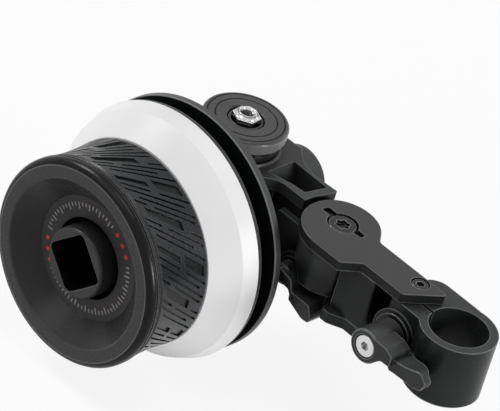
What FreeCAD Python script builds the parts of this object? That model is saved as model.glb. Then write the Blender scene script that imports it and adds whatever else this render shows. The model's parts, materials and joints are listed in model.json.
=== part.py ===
import FreeCAD, Part
import math
import os

import Sketcher

# Follow focus unit for a 15 mm rod, in millimetres.
# Origin: rod axis at the clamp's lower face. +Z runs along the rod, the handwheel's axis is
# parallel to Y with its face towards -Y, and the arm runs along X from the rod to the gearbox.

doc = FreeCAD.newDocument("FollowFocus")
sheet = doc.addObject("Spreadsheet::Sheet", "sizes")

DRIVING_SIZES = [
    ("arm_pivot", 40.3, "rod axis to pivot axis"),
    ("gear_reach", 36.3, "pivot axis to wheel and drive axis"),
    ("rod_radius", 7.5, "bore for the 15 mm rod"),
    ("clamp_wall", 2.25, "wall of the rod clamp's ring"),
    ("clamp_top", 17.1, "height of the rod clamp"),
    ("clamp_back", 9.7, "back face of the clamp's wing"),
    ("slit_front", 2.0, "front side of both clamp slits, towards -Y"),
    ("slit_width", 0.8, "width of both clamp slits"),
    ("stud_offset", 12.7, "clamp stud axis, from the rod axis"),
    ("stud_level", 8.5, "clamp stud axis, height"),
    ("ear_radius", 6.4, "boss round the clamp stud"),
    ("ear_front", 6.9, "front face of that boss, towards -Y"),
    ("plate_low", 17.4, "underside of the arm's top plate"),
    ("plate_high", 20.1, "upper face of the arm's top plate"),
    ("arm_front", 6.85, "front face of the arm's block, towards -Y"),
    ("arm_back", 3.3, "back face of the arm's plate and block"),
    ("post_radius", 3.5, "pivot post"),
    ("collar_radius", 9.0, "split collar round the post"),
    ("collar_low", 4.5, "lower face of the split collar"),
    ("collar_high", 17.1, "upper face of the split collar"),
    ("base_high", 3.0, "upper face of the arm's lower plate"),
    ("deck_high", 20.0, "upper face of the bracket's deck"),
    ("running_gap", 0.3, "gap between pieces that pass each other"),
    ("bearing_gap", 0.03, "radial gap of a shaft in its bore"),
    ("lock_offset", 6.5, "lock stud axis, from the pivot axis"),
    ("lock_level", 3.4, "lock stud axis, height"),
    ("clamp_hub", 4.4, "radius of the clamp lever's hub"),
    ("lock_hub", 2.8, "radius of the lock lever's hub"),
    ("barrel_radius", 13.0, "gearbox barrel"),
    ("flange_back", 12.35, "back face of the index flange, towards -Y"),
    ("flange_front", 14.5, "front face of the index flange"),
    ("nose_front", 18.7, "front of the flange's bearing nose"),
    ("boss_radius", 8.3, "rear boss of the gearbox"),
    ("boss_end", 29.9, "rear end of that boss, towards +Y"),
    ("bearing_radius", 7.0, "outside of both bearings"),
    ("shaft_radius", 3.0, "wheel spindle and drive shaft"),
    ("gear_radius", 8.0, "pitch radius of both mitre gears"),
    ("gear_teeth", 20, "teeth of each mitre gear"),
    ("tooth_face", 3.2, "face width of the teeth"),
    ("wheel_front", 50.9, "front plane of the handwheel's lip"),
    ("lip_radius", 26.3, "rim of the handwheel's lip"),
    ("dish_radius", 21.5, "outer edge of the dish"),
    ("face_level", 45.6, "flat ring at the bottom of the dish"),
    ("face_radius", 15.8, "outer edge of that ring"),
    ("moat_radius", 10.3, "outer edge of the groove round the socket boss"),
    ("socket_boss", 9.0, "socket boss"),
    ("socket_front", 49.3, "front of the socket boss"),
    ("socket_width", 11.8, "across flats of the square crank socket"),
    ("socket_depth", 11.0, "depth of the crank socket"),
    ("grip_seat", 24.0, "inside radius of the grip sleeve"),
    ("grip_front", 47.3, "front end of the grip sleeve"),
    ("grip_back", 31.05, "back end of the grip sleeve"),
    ("grip_radius", 26.06, "grip sleeve at its back end"),
    ("disc_seat", 22.0, "inside radius of the marking disc"),
    ("disc_break", 24.5, "edge between the disc's cone and its bevel"),
    ("disc_radius", 32.5, "largest radius of the marking disc"),
    ("disc_back", 20.3, "back face of the marking disc"),
    ("ring_back", 19.3, "back face of the disc's retaining ring"),
    ("hub_radius", 10.96, "drive hub"),
    ("hub_high", 27.3, "upper face of the drive hub"),
    ("hub_band", 23.9, "lower edge of the drive hub's band"),
    ("hub_low", 20.9, "lower face of the drive hub's neck"),
    ("hub_recess", 4.7, "recess round the drive stud"),
    ("hex_width", 6.3, "across flats of the drive stud"),
    ("hex_high", 28.2, "top of the drive stud's hexagon"),
    ("thread_radius", 1.65, "tapping hole of the drive stud"),
]


class Size:
    """A number together with the sheet expression that gives it."""

    def __init__(self, value, text):
        self.value = value
        self.text = text

    def __add__(self, other):
        other = as_size(other)
        return Size(self.value + other.value, f"({self.text} + {other.text})")

    def __radd__(self, other):
        return as_size(other) + self

    def __sub__(self, other):
        other = as_size(other)
        return Size(self.value - other.value, f"({self.text} - {other.text})")

    def __rsub__(self, other):
        return as_size(other) - self

    def __mul__(self, factor):
        return Size(self.value * factor, f"({self.text} * {factor!r})")

    __rmul__ = __mul__

    def __neg__(self):
        return Size(-self.value, f"(0 - {self.text})")


def as_size(number):
    return number if isinstance(number, Size) else Size(float(number), f"({float(number)!r})")


class Sizes:
    """The sheet's values by alias."""


size = Sizes()
for row, (alias, value, note) in enumerate(DRIVING_SIZES, start=1):
    sheet.set(f"A{row}", note)
    sheet.set(f"B{row}", str(value))
    sheet.setAlias(f"B{row}", alias)
    setattr(size, alias, Size(float(value), f"sizes.{alias}"))
doc.recompute()

WHEEL_X = -(size.arm_pivot + size.gear_reach)
PIVOT_X = -size.arm_pivot
STUD_X = -size.stud_offset
DECK_LOW = size.deck_high - 3.0
FLANGE_RADIUS = size.disc_radius - 0.2
TOWER_TOP = size.hub_low - size.running_gap
SOCKET_FLOOR = size.socket_front - size.socket_depth
WHEEL_RING = size.disc_seat - 1.5
CAP_RADIUS = size.boss_radius - 1.75
FLANGE_RING = size.barrel_radius - 1.4
LOCK_X = -(size.arm_pivot + size.lock_offset)
SLIT_BACK = size.slit_width - size.slit_front
CLAMP_LEFT = STUD_X - 4.5
BLOCK_END = STUD_X - 8.7
END_SCREW_X = STUD_X - 1.6
LOWER_SCREW_X = (BLOCK_END - 3.8, BLOCK_END + 1.6)
LOWER_SCREW_Y = 1.1
FORWARD = FreeCAD.Rotation(FreeCAD.Vector(1, 0, 0), 90)
UPRIGHT = FreeCAD.Rotation()

parts = {}


# ---------------------------------------------------------------- building helpers

def new_part(label, x=0.0, y=0.0, z=0.0, turn=UPRIGHT):
    """A sub-part's body. With turn FORWARD its own Z points towards -Y and its own Y up."""
    body = doc.addObject("PartDesign::Body", label)
    body.Label = label
    place(body, x, y, z, turn)
    parts[label] = body
    return body


def place(item, x=0.0, y=0.0, z=0.0, turn=UPRIGHT):
    item.Placement = FreeCAD.Placement(FreeCAD.Vector(), turn)
    for axis, distance in (("x", x), ("y", y), ("z", z)):
        item.setExpression(f"Placement.Base.{axis}", as_size(distance).text)


def new_sketch(body, role, lift=0.0):
    """A sketch on one of the body's own origin planes, moved along its normal by lift."""
    sketch = body.newObject("Sketcher::SketchObject", f"{body.Label}_sketch")
    plane = next(item for item in body.Origin.OriginFeatures if item.Role == role)
    sketch.AttachmentSupport = [(plane, "")]
    sketch.MapMode = "FlatFace"
    sketch.setExpression("AttachmentOffset.Base.z", as_size(lift).text)
    return sketch


def bind(sketch, kind, *terms, to):
    index = sketch.addConstraint(Sketcher.Constraint(kind, *terms, to.value))
    sketch.setExpression(f"Constraints[{index}]", to.text)


def circle(sketch, x, y, radius):
    x, y, radius = as_size(x), as_size(y), as_size(radius)
    centre = FreeCAD.Vector(x.value, y.value, 0)
    index = sketch.addGeometry(Part.Circle(centre, FreeCAD.Vector(0, 0, 1), radius.value), False)
    bind(sketch, "DistanceX", -1, 1, index, 3, to=x)
    bind(sketch, "DistanceY", -1, 1, index, 3, to=y)
    bind(sketch, "Radius", index, to=radius)


def outline(sketch, corners):
    """A closed outline of straight sides; a corner is (x, y) or, if rounded, (x, y, radius)."""
    spots = [(as_size(corner[0]), as_size(corner[1])) for corner in corners]
    rounds = [as_size(corner[2]) if len(corner) > 2 else None for corner in corners]
    points = [FreeCAD.Vector(x.value, y.value, 0) for x, y in spots]
    total = len(corners)
    entry, leave, centres = [], [], []
    for i in range(total):
        back = (points[i - 1] - points[i]).normalize()
        ahead = (points[(i + 1) % total] - points[i]).normalize()
        if rounds[i] is None:
            entry.append(points[i])
            leave.append(points[i])
            centres.append(None)
            continue
        half = back.getAngle(ahead) / 2
        reach = rounds[i].value / math.tan(half)
        entry.append(points[i] + back * reach)
        leave.append(points[i] + ahead * reach)
        middle = (back + ahead).normalize()
        centres.append(points[i] + middle * (rounds[i].value / math.sin(half)))
    sides = []
    for i in range(total):
        side = Part.LineSegment(leave[i], entry[(i + 1) % total])
        sides.append(sketch.addGeometry(side, False))
    for i in range(total):
        x, y = spots[i]
        before, after = sides[i - 1], sides[i]
        if rounds[i] is None:
            sketch.addConstraint(Sketcher.Constraint("Coincident", before, 2, after, 1))
            bind(sketch, "DistanceX", -1, 1, after, 1, to=x)
            bind(sketch, "DistanceY", -1, 1, after, 1, to=y)
            continue
        middle = centres[i] + (points[i] - centres[i]).normalize() * rounds[i].value
        arc = Part.Arc(entry[i], middle, leave[i])
        index = sketch.addGeometry(arc, False)
        start = sketch.getPoint(index, 1)
        first, second = (1, 2) if start.distanceToPoint(entry[i]) < 1e-6 else (2, 1)
        sketch.addConstraint(Sketcher.Constraint("Tangent", before, 2, index, first))
        sketch.addConstraint(Sketcher.Constraint("Tangent", index, second, after, 1))
        bind(sketch, "Radius", index, to=rounds[i])
        spot = sketch.addGeometry(Part.Point(points[i]), True)
        bind(sketch, "DistanceX", -1, 1, spot, 1, to=x)
        bind(sketch, "DistanceY", -1, 1, spot, 1, to=y)
        sketch.addConstraint(Sketcher.Constraint("PointOnObject", spot, 1, before))
        sketch.addConstraint(Sketcher.Constraint("PointOnObject", spot, 1, after))


def turned(body, corners, role="XZ_Plane", cut=False):
    """A turned form: corners (radius, height) revolved about the sketch's upright axis."""
    sketch = new_sketch(body, role)
    outline(sketch, corners)
    kind = "PartDesign::Groove" if cut else "PartDesign::Revolution"
    feature = body.newObject(kind, f"{body.Label}_turned")
    feature.Profile = sketch
    feature.ReferenceAxis = (sketch, ["V_Axis"])
    feature.Angle = 360
    body.Tip = feature
    return feature


def pad(body, draw, low, high, role="XY_Plane"):
    """Adds what draw() sketches, between the offsets low and high along the plane's normal."""
    low, high = as_size(low), as_size(high)
    sketch = new_sketch(body, role, low)
    draw(sketch)
    feature = body.newObject("PartDesign::Pad", f"{body.Label}_pad")
    feature.Profile = sketch
    feature.setExpression("Length", (high - low).text)
    body.Tip = feature
    return feature


def pocket(body, draw, low, high, role="XY_Plane"):
    """Cuts what draw() sketches, from the offset high down to low."""
    low, high = as_size(low), as_size(high)
    sketch = new_sketch(body, role, high)
    draw(sketch)
    feature = body.newObject("PartDesign::Pocket", f"{body.Label}_pocket")
    feature.Profile = sketch
    feature.setExpression("Length", (high - low).text)
    body.Tip = feature
    return feature


def soften(body, size_of_edge, pick, kind="PartDesign::Chamfer"):
    """Bevels, or with a fillet rounds, the edges of the form so far that pick() accepts."""
    doc.recompute()
    base = body.Tip
    names = [f"Edge{i}" for i, edge in enumerate(base.Shape.Edges, start=1) if pick(edge)]
    feature = body.newObject(kind, f"{body.Label}_edges")
    feature.Base = (base, names)
    measure = "Radius" if kind.endswith("Fillet") else "Size"
    feature.setExpression(measure, as_size(size_of_edge).text)
    body.Tip = feature


def at_height(*heights):
    """Picks the edges that lie flat at one of the heights of the body's own Z."""
    levels = [as_size(height).value for height in heights]

    def pick(edge):
        return any(all(abs(vertex.Z - level) < 1e-4 for vertex in edge.Vertexes) and
                   abs(edge.CenterOfMass.z - level) < 1e-4 for level in levels)
    return pick


def round_row(x, y, radius):
    return lambda sketch: circle(sketch, x, y, radius)


def ring_row(x, y, outer, inner):
    def draw(sketch):
        circle(sketch, x, y, outer)
        circle(sketch, x, y, inner)
    return draw


def bolt_circle(count, ring, radius, first=0.0):
    def draw(sketch):
        for i in range(count):
            angle = math.radians(first + 360.0 * i / count)
            circle(sketch, as_size(ring) * math.cos(angle), as_size(ring) * math.sin(angle), radius)
    return draw


def regular(sketch, width, sides, first):
    """A regular outline with the given width across flats, first corner at the angle first."""
    corner = as_size(width) * (0.5 / math.cos(math.pi / sides))
    angles = [math.radians(first + 360.0 * i / sides) for i in range(sides)]
    outline(sketch, [(corner * math.cos(angle), corner * math.sin(angle)) for angle in angles])


def star(sketch, outer, inner, points):
    """A lobed driver recess with rounded tips and hollows."""
    corners = []
    for i in range(2 * points):
        angle = math.pi * i / points
        radius = as_size(inner if i % 2 else outer)
        corners.append((radius * math.cos(angle), radius * math.sin(angle), 0.22))
    outline(sketch, corners)


# ---------------------------------------------------------------- rod clamp and arm

def rod_clamp():
    body = new_part("rod_clamp")
    outer = size.rod_radius + size.clamp_wall

    def ring(sketch):
        circle(sketch, 0, 0, outer)

    def wing(sketch):
        outline(sketch, [
            (CLAMP_LEFT, SLIT_BACK), (-2.0, SLIT_BACK), (-2.0, size.clamp_back),
            (CLAMP_LEFT, size.clamp_back, 4.6),
        ])

    pad(body, ring, 0, size.clamp_top)
    pad(body, wing, 0, size.clamp_top)
    # front ear that the stud draws towards the wing, and the block that joins it to the ring
    pad(body, round_row(STUD_X, size.stud_level, size.ear_radius),
        size.slit_front, size.ear_front, "XZ_Plane")
    pad(body, lambda sketch: outline(sketch, [
        (STUD_X - 4.1, -size.ear_front + 0.6, 0.8), (-7.0, -size.ear_front + 0.3), (-5.0, -7.6),
        (-5.0, -size.slit_front), (STUD_X - 4.1, -size.slit_front),
    ]), size.stud_level - 5.8, size.clamp_top)
    soften(body, 0.7, at_height(0))
    pocket(body, round_row(0, 0, size.rod_radius), -1, size.clamp_top + 1)
    # slit from the bore out between the ear and the wing
    pocket(body, lambda sketch: outline(sketch, [
        (-30.0, -size.slit_front), (-5.0, -size.slit_front), (-5.0, SLIT_BACK), (-30.0, SLIT_BACK),
    ]), -1, size.clamp_top + 1)
    pocket(body, round_row(STUD_X, size.stud_level, 2.1), -7.2, size.ear_front + 1, "XZ_Plane")
    pocket(body, round_row(END_SCREW_X, 0.35, 1.3), 12.4, size.clamp_top + 1)


def arm_lower_plate():
    body = new_part("arm_lower_plate")
    foot = size.post_radius + 0.6

    def shape(sketch):
        outline(sketch, [
            (PIVOT_X, -foot), (PIVOT_X + 4.0, -5.0, 1.0), (PIVOT_X + 6.6, -5.0, 1.0),
            (PIVOT_X + 7.6, -9.0, 0.8), (PIVOT_X + 9.9, -9.0, 1.0),
            (PIVOT_X + 13.6, -size.arm_front, 1.0), (BLOCK_END, -size.arm_front, 0.6), (BLOCK_END, -1.0),
            (CLAMP_LEFT, -1.0), (CLAMP_LEFT, size.arm_back),
            (PIVOT_X + 9.8, size.arm_back, 1.0), (PIVOT_X + 8.0, 0.3, 1.0), (PIVOT_X, 0.3),
        ])

    pad(body, shape, 0, size.base_high)
    pad(body, round_row(PIVOT_X, 0, foot), 0, size.collar_low - size.running_gap)
    pocket(body, round_row(PIVOT_X, 0, size.post_radius + size.bearing_gap), -1, size.collar_low)
    for x in LOWER_SCREW_X:
        pocket(body, round_row(x, LOWER_SCREW_Y, 1.05), -1, size.base_high + 1)
        pocket(body, round_row(x, LOWER_SCREW_Y, 1.9), -1, 1.6)


def arm_body():
    body = new_part("arm_body")
    block = [
        (PIVOT_X + 8.0, -size.arm_front), (BLOCK_END, -size.arm_front, 0.8), (BLOCK_END, -1.0),
        (CLAMP_LEFT, -1.0), (CLAMP_LEFT, size.arm_back),
        (PIVOT_X + 13.0, size.arm_back, 1.5), (PIVOT_X + 8.0, -1.5),
    ]
    pad(body, lambda sketch: outline(sketch, block), size.base_high, size.plate_low)
    # hollow that the split collar turns in
    pocket(body, round_row(PIVOT_X, 0, size.collar_radius + 0.4), size.base_high - 1, size.plate_low + 1)
    for x in LOWER_SCREW_X:
        pocket(body, round_row(x, LOWER_SCREW_Y, 1.05), size.base_high - 1, size.plate_low + 1)


def arm_top_plate():
    body = new_part("arm_top_plate")
    end_radius = 9.6

    def shape(sketch):
        outline(sketch, [
            (PIVOT_X - end_radius, -12.0, 11.8), (PIVOT_X + 10.5, -12.0, 1.0),
            (PIVOT_X + 13.7, -size.arm_front, 1.5), (-13.5, -size.arm_front, 1.2),
            (-7.5, size.arm_back, 0.8), (PIVOT_X + 9.64, size.arm_back, 2.0),
            (PIVOT_X + 4.63, end_radius, end_radius - 0.1), (PIVOT_X - end_radius, end_radius, end_radius - 0.1),
        ])

    pad(body, shape, size.plate_low, size.plate_high)
    soften(body, 0.5, at_height(size.plate_high), "PartDesign::Fillet")
    # round recess for the pivot screw with a driver slot across it
    pocket(body, round_row(PIVOT_X, 0, 4.0), size.plate_high - 1.6, size.plate_high + 1)
    pocket(body, lambda sketch: outline(sketch, [
        (PIVOT_X - 6.8, -0.7, 0.6), (PIVOT_X + 6.3, -0.3, 0.6),
        (PIVOT_X + 6.2, 1.6, 0.7), (PIVOT_X - 6.5, 1.6, 0.9),
    ]), size.plate_high - 1.2, size.plate_high + 1)
    pocket(body, round_row(PIVOT_X, 0, 1.95), size.plate_low - 1, size.plate_high)
    pocket(body, round_row(END_SCREW_X, 0.35, 1.35), size.plate_low - 1, size.plate_high)
    pocket(body, round_row(END_SCREW_X, 0.35, 2.35), size.plate_high - 1.7, size.plate_high + 1)
    for x in LOWER_SCREW_X:
        pocket(body, round_row(x, LOWER_SCREW_Y, 0.95), size.plate_low - 1, size.plate_high - 0.8)


def pivot_post():
    body = new_part("pivot_post", x=PIVOT_X)
    turned(body, [
        (0, 0.2), (size.post_radius - 0.3, 0.2), (size.post_radius, 0.5),
        (size.post_radius, size.plate_low), (1.65, size.plate_low), (1.65, 9.0), (0, 8.2),
    ])


def upright_screw(label, x, y, top, head_radius, head_high, shank_radius, length, recess):
    """A screw along Z with its head up; recess() sketches the driver recess in the head."""
    body = new_part(label, x=x, y=y)
    under = top - head_high
    turned(body, [
        (0, top), (head_radius - 0.25, top), (head_radius, top - 0.25), (head_radius, under),
        (shank_radius, under), (shank_radius, top - length), (0, top - length),
    ])
    pocket(body, recess, top - head_high * 0.65, top)


def washer(label, x, z, outer, inner, low, high):
    body = new_part(label, x=x, z=z, turn=FORWARD)
    pad(body, ring_row(0, 0, outer, inner), low, high)


# ---------------------------------------------------------------- levers

def lever(label, x, z, hub, blades, screw_seat, socket):
    """A thumb lever. hub is (radius, back, front), each blade is (corners, back, front),
    screw_seat is (radius, depth) and socket is the radius of the seat for the stud's head."""
    body = new_part(label, x=x, z=z, turn=FORWARD)
    hub_radius, hub_back, hub_front = hub
    for corners, back, front in blades:
        pad(body, lambda sketch: outline(sketch, corners), back, front)
        soften(body, 0.45, at_height(front), "PartDesign::Fillet")
    turned(body, [
        (0, hub_back), (hub_radius, hub_back), (hub_radius, hub_front - 0.35),
        (hub_radius - 0.35, hub_front), (0, hub_front),
    ])
    seat_radius, depth = screw_seat
    pocket(body, round_row(0, 0, seat_radius), hub_front - depth, hub_front + 1)
    pocket(body, round_row(0, 0, 0.5 * seat_radius), hub_back - 1, hub_front)
    pocket(body, round_row(0, 0, socket), hub_back - 1, hub_front - depth - 0.8)
    return body


def stud(label, x, z, low, head_low, head_high, radius, head, screw):
    """A threaded stud along its own Z with a toothed head that the lever's socket fits."""
    body = new_part(label, x=x, z=z, turn=FORWARD)
    turned(body, [
        (0, low), (radius - 0.4, low), (radius, low + 0.4), (radius, head_low), (head, head_low),
        (head, head_high), (screw, head_high), (screw, head_high - 3.0), (0, head_high - 3.0),
    ])


def lever_screw(label, x, z, front, length, head, shank, key):
    """A countersunk screw; head is (radius, rim height, cone height)."""
    body = new_part(label, x=x, z=z, turn=FORWARD)
    radius, rim, cone = head
    turned(body, [
        (0, front), (radius - 0.2, front), (radius, front - 0.2), (radius, front - rim),
        (shank, front - rim - cone), (shank, front - length), (0, front - length),
    ])
    pocket(body, lambda sketch: regular(sketch, key, 6, 0), front - rim - 0.5 * cone, front)


# ---------------------------------------------------------------- gearbox

def gearbox_housing():
    body = new_part("gearbox_housing", x=WHEEL_X)
    pivot = size.gear_reach
    lock = pivot - size.lock_offset
    barrel = size.barrel_radius
    turned(body, [
        (0, -size.flange_back), (barrel, -size.flange_back), (barrel, 7.0, 3.0),
        (size.boss_radius + 0.6, 14.5, 8.0), (size.boss_radius, size.boss_end - 0.8),
        (size.boss_radius - 0.8, size.boss_end), (0, size.boss_end),
    ], role="XY_Plane")
    turned(body, [
        (0, -2.0), (barrel - 0.7, -2.0), (barrel - 0.7, 17.2, 3.0), (barrel - 2.8, TOWER_TOP),
        (0, TOWER_TOP),
    ])
    deck = [
        (0.0, -9.0), (9.5, -9.0, 2.0), (16.4, -1.9, 5.0), (pivot - 11.4, -1.9, 0.4),
        (pivot - 9.9, 8.4, 0.4), (15.5, 7.6, 12.0), (9.4, 12.8), (0.0, 12.8),
    ]
    pad(body, lambda sketch: outline(sketch, deck), DECK_LOW, size.deck_high)
    web = [
        (0.0, -8.0), (9.5, -8.0, 2.0), (16.4, SLIT_BACK, 5.0), (pivot - 2.0, SLIT_BACK),
        (pivot - 2.0, 8.0), (15.3, 7.3, 12.0), (9.2, 12.4), (0.0, 12.4),
    ]
    pad(body, lambda sketch: outline(sketch, web), size.collar_low, size.collar_high)
    # split collar round the pivot post, its front leaf and the ears of the lock stud
    pad(body, round_row(pivot, 0, size.collar_radius), size.collar_low, size.collar_high)
    pad(body, lambda sketch: outline(sketch, [
        (19.7, 1.2, 1.5), (pivot - 4.0, 1.2), (pivot - 4.0, 14.4), (19.7, 14.4, 0.5),
    ]), size.slit_front, 3.9, "XZ_Plane")
    pad(body, round_row(lock, size.lock_level, 4.6), -3.2, 5.4, "XZ_Plane")
    # the deck ends on an arc that clears the arm's plate
    pocket(body, round_row(pivot, 0, 11.3), size.collar_high, size.deck_high + 1)
    pocket(body, round_row(pivot, 0, size.post_radius + 1.0), -3.0, size.collar_low)
    pocket(body, round_row(pivot, 0, size.post_radius + size.bearing_gap), -3.0, size.collar_high + 1)
    pocket(body, lambda sketch: outline(sketch, [
        (14.0, -size.slit_front), (pivot, -size.slit_front), (pivot, SLIT_BACK), (14.0, SLIT_BACK),
    ]), -3.0, DECK_LOW)
    # window in the deck, with a sloping wall on the tower's side
    pocket(body, lambda sketch: outline(sketch, [
        (12.3, -2.0, 0.4), (18.8, -0.1, 0.8), (22.7, 0.4, 0.4), (24.0, 7.1, 0.4), (12.3, 7.1, 0.4),
    ]), 8.0, size.deck_high + 1)
    pad(body, lambda sketch: outline(sketch, [
        (12.0, 7.5), (17.1, 7.5), (12.3, size.deck_high - 0.1), (12.0, size.deck_high - 0.1),
    ]), -7.3, 1.5, "XZ_Plane")
    pocket(body, round_row(lock, size.lock_level, 1.35), -3.0, 8.0, "XZ_Plane")
    pocket(body, round_row(lock, size.lock_level, 5.0), 5.4, 11.0, "XZ_Plane")
    # gear chamber, open to the flange in front, and the upright bearing seat
    pocket(body, round_row(0, 0, barrel - 2.8), -9.7, size.flange_back + 1, "XZ_Plane")
    pocket(body, round_row(0, 0, barrel - 3.3), 0, 12.6)
    pocket(body, round_row(0, 0, 5.6), 0, 14.0)
    pocket(body, round_row(0, 0, size.bearing_radius), 13.0, TOWER_TOP + 1)
    pocket(body, round_row(0, 0, CAP_RADIUS + 0.05), -size.boss_end - 1, -size.boss_end + 1.4, "XZ_Plane")
    pocket(body, bolt_circle(4, FLANGE_RING, 0.8, 45), size.flange_back - 6.0, size.flange_back + 1,
           "XZ_Plane")


def flange():
    body = new_part("flange", x=WHEEL_X, turn=FORWARD)
    turned(body, [
        (size.bearing_radius, size.flange_back), (FLANGE_RADIUS - 0.3, size.flange_back),
        (FLANGE_RADIUS, size.flange_back + 0.3), (FLANGE_RADIUS, size.flange_front - 0.3),
        (FLANGE_RADIUS - 0.3, size.flange_front), (8.6, size.flange_front),
        (8.6, size.nose_front - 0.4), (8.2, size.nose_front), (4.2, size.nose_front),
        (4.2, size.nose_front - 0.6), (size.bearing_radius, size.nose_front - 0.6),
    ])
    pocket(body, bolt_circle(4, FLANGE_RING, 1.05, 45), size.flange_back - 1, size.flange_front)
    pocket(body, bolt_circle(4, FLANGE_RING, 1.95, 45), size.flange_front - 1.1, size.flange_front + 1)


def screw_set(label, x, turn, spots, front, head, shank, length, key):
    """Equal screws as one node: spots are their axes, head is (radius, height)."""
    item = doc.addObject("Part::Feature", label)
    item.Label = label
    head_radius, head_high = head
    front = as_size(front).value
    ahead = FreeCAD.Vector(0, 0, 1)
    reach = key / math.sqrt(3.0)
    screws = []
    for across, up in spots:
        seat = FreeCAD.Vector(across, up, front - head_high)
        cap = Part.makeCylinder(head_radius, head_high, seat, ahead)
        shaft = Part.makeCylinder(shank, length - head_high, FreeCAD.Vector(across, up, front - length), ahead)
        corners = []
        for i in range(7):
            angle = math.radians(60.0 * i)
            corner = FreeCAD.Vector(reach * math.cos(angle), reach * math.sin(angle), head_high * 0.4)
            corners.append(seat + corner)
        recess = Part.Face(Part.makePolygon(corners)).extrude(ahead * head_high)
        screws.append(cap.fuse(shaft).removeSplitter().cut(recess))
    item.Shape = Part.makeCompound(screws)
    place(item, x=x, turn=turn)
    parts[label] = item


def spots_on_circle(count, ring, first):
    angles = [math.radians(first + 360.0 * i / count) for i in range(count)]
    return [(ring * math.cos(angle), ring * math.sin(angle)) for angle in angles]


def plain_ring(label, x, outer, inner, low, high, turn=UPRIGHT, z=0.0):
    body = new_part(label, x=x, z=z, turn=turn)
    pad(body, ring_row(0, 0, outer, inner), low, high)
    return body


def rear_cap():
    body = new_part("rear_cap", x=WHEEL_X, turn=FORWARD)
    pad(body, round_row(0, 0, CAP_RADIUS), -size.boss_end + 0.3, -size.boss_end + 1.4)
    pocket(body, bolt_circle(2, 3.6, 0.9, 0), -size.boss_end - 1, -size.boss_end + 0.9)


def mitre_gear(label, turn, first):
    """A 1:1 bevel gear with its apex at the crossing of the two shaft axes."""
    item = doc.addObject("Part::Feature", label)
    item.Label = label
    pitch = size.gear_radius.value
    teeth = int(size.gear_teeth.value)
    module = 2.0 * pitch / teeth
    outer_cone = pitch * math.sqrt(2.0)
    inner_scale = (outer_cone - size.tooth_face.value) / outer_cone
    crest = 0.62 * module
    root = 0.90 * module
    half_pitch = 0.40 * math.pi * module / 2.0
    slope = math.tan(math.radians(20.0))
    diagonal = math.sqrt(0.5)
    bore = size.shaft_radius.value + 0.01

    def spot(lift, scale):
        return ((pitch + lift * diagonal) * scale, (pitch - lift * diagonal) * scale)

    outer_root = spot(-root, 1.0)
    inner_root = spot(-root, inner_scale)
    profile = [
        (bore, inner_root[1]), inner_root, outer_root, (outer_root[0] - 0.8, outer_root[1] + 0.8),
        (5.0, outer_root[1] + 0.8), (5.0, 12.0), (bore, 12.0),
    ]
    wire = Part.makePolygon([FreeCAD.Vector(r, 0, z) for r, z in profile + profile[:1]])
    blank = Part.Face(wire).revolve(FreeCAD.Vector(), FreeCAD.Vector(0, 0, 1), 360)

    def section(scale):
        points = []
        for lift, half in ((crest, half_pitch - crest * slope), (-root - 0.35, half_pitch + root * slope)):
            radius, height = spot(lift, scale)
            points.append((FreeCAD.Vector(radius, -half * scale, height),
                           FreeCAD.Vector(radius, half * scale, height)))
        (a, b), (c, d) = points
        return Part.makePolygon([a, b, d, c, a])

    tooth = Part.makeLoft([section(1.0), section(inner_scale)], True, True)
    solid = blank
    cutters = []
    for i in range(teeth):
        copy = tooth.copy()
        copy.rotate(FreeCAD.Vector(), FreeCAD.Vector(0, 0, 1), first + 360.0 * i / teeth)
        cutters.append(copy)
    item.Shape = solid.multiFuse(cutters).removeSplitter()
    place(item, x=WHEEL_X, turn=turn)
    parts[label] = item


def drive_hub():
    body = new_part("drive_hub", x=WHEEL_X)
    top = size.hub_high
    turned(body, [
        (size.shaft_radius + 0.01, size.hub_low), (9.6, size.hub_low), (9.6, 22.2), (9.2, 22.5),
        (9.2, size.hub_band), (size.hub_radius - 0.3, size.hub_band),
        (size.hub_radius, size.hub_band + 0.3), (size.hub_radius, top, 0.9),
        (9.85, top), (9.73, top - 0.3), (9.6, top), (7.9, top), (7.77, top - 0.3), (7.64, top),
        (size.hub_recess + 0.3, top), (size.hub_recess, top - 0.3), (size.hub_recess, top - 2.4),
        (size.shaft_radius + 0.01, top - 2.4),
    ])


def drive_shaft():
    body = new_part("drive_shaft", x=WHEEL_X)
    turned(body, [
        (0, 6.3), (size.shaft_radius, 6.3), (size.shaft_radius, size.hub_high - 2.4),
        (0, size.hub_high - 2.4),
    ])


def drive_stud():
    body = new_part("drive_stud", x=WHEEL_X)
    low = size.hub_high - 2.4
    pad(body, round_row(0, 0, 3.9), low, low + 0.8)
    pad(body, lambda sketch: regular(sketch, size.hex_width, 6, 36), low, size.hex_high)
    # bevelled crown that stands above the hexagon
    turned(body, [
        (0, size.hex_high - 0.5), (2.9, size.hex_high - 0.5), (2.9, size.hex_high + 0.1),
        (2.3, size.hex_high + 0.9), (0, size.hex_high + 0.9),
    ])
    pocket(body, round_row(0, 0, size.thread_radius), low, size.hex_high + 1)
    turned(body, [
        (0, size.hex_high + 0.3), (size.thread_radius, size.hex_high + 0.3),
        (size.thread_radius + 0.45, size.hex_high + 1), (0, size.hex_high + 1),
    ], cut=True)


# ---------------------------------------------------------------- handwheel

def handwheel_core():
    """Hub and web of the wheel, with the ring that carries the face ring."""
    body = new_part("handwheel_core", x=WHEEL_X, turn=FORWARD)
    turned(body, [
        (0, size.ring_back), (0, SOCKET_FLOOR), (size.moat_radius, SOCKET_FLOOR),
        (size.moat_radius, size.face_level - 1.0), (size.face_radius, size.face_level - 1.0),
        (size.face_radius, 34.0), (8.0, 34.0, 1.0), (8.0, size.ring_back),
    ])
    pocket(body, round_row(0, 0, size.shaft_radius + 0.01), size.ring_back - 1, 36.0)


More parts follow.
